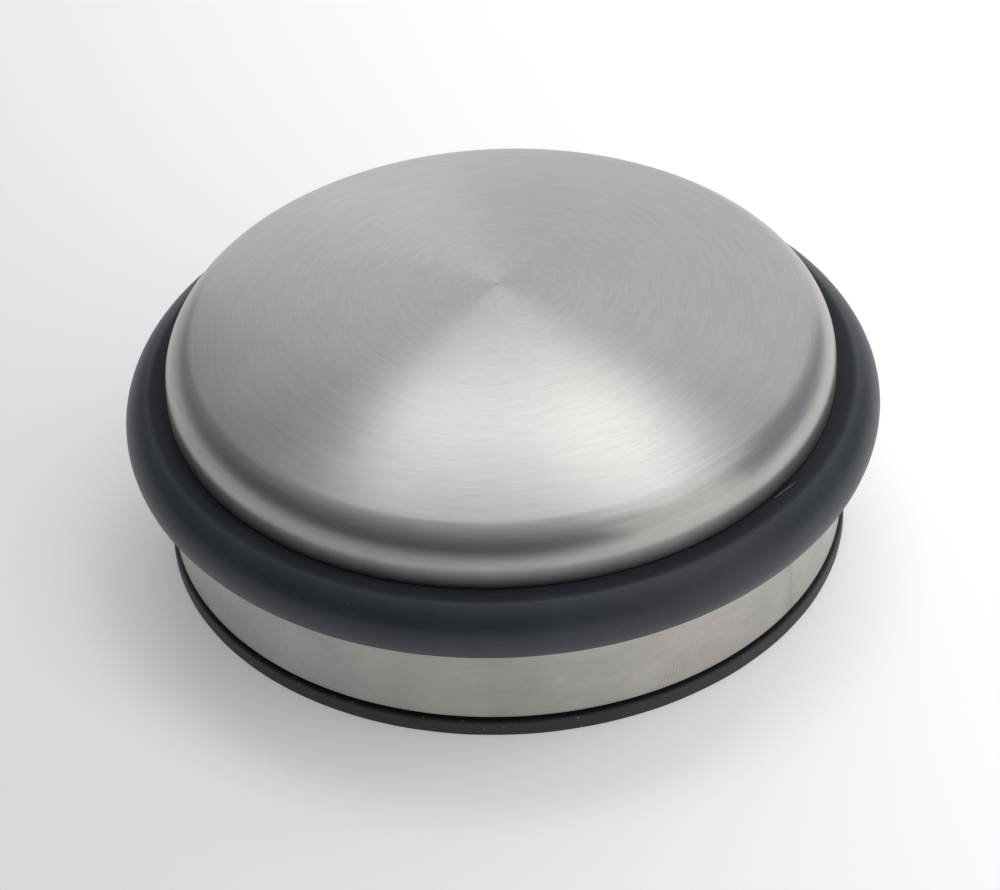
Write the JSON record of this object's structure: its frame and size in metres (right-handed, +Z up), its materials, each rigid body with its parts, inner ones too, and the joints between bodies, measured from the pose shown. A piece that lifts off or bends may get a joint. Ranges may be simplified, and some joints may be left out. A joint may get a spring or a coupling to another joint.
{
  "type": "floor door stop",
  "caption": "Free-standing weighted door stop: low brushed steel dome over a rubber bumper ring, a brushed steel band and a rubber foot.",
  "frame": {"origin": "centre of the underside of the rubber pad, on the floor", "axes": "+Z up along the axis of the dome; +X and +Y lie in the floor, and the part is the same all round"},
  "size_m": [0.1114, 0.1114, 0.0425],
  "materials": {
    "brushed_steel": "circular satin brushing on the dome, lengthwise satin brushing on the band",
    "bumper_rubber": "smooth moulded satin black with a faint blue-grey bloom",
    "pad_rubber": "matt black die-cut sheet with ground edges",
    "iron": "rough cast, wiped with black paint",
    "plated_steel": "zinc-plated",
    "foam": "closed-cell foam rubber sheet",
    "tape": "black double-sided foam tape"
  },
  "bodies": {
    "root": {"top_cap": "brushed_steel", "cap_boss": "plated_steel", "crown_liner": "foam", "core_weight": "iron", "bumper_ring": "bumper_rubber", "lower_band": "brushed_steel", "base_plate": "plated_steel", "clamp_screw": "plated_steel", "pad_tape": "tape", "base_pad": "pad_rubber"}
  },
  "joints": []
}
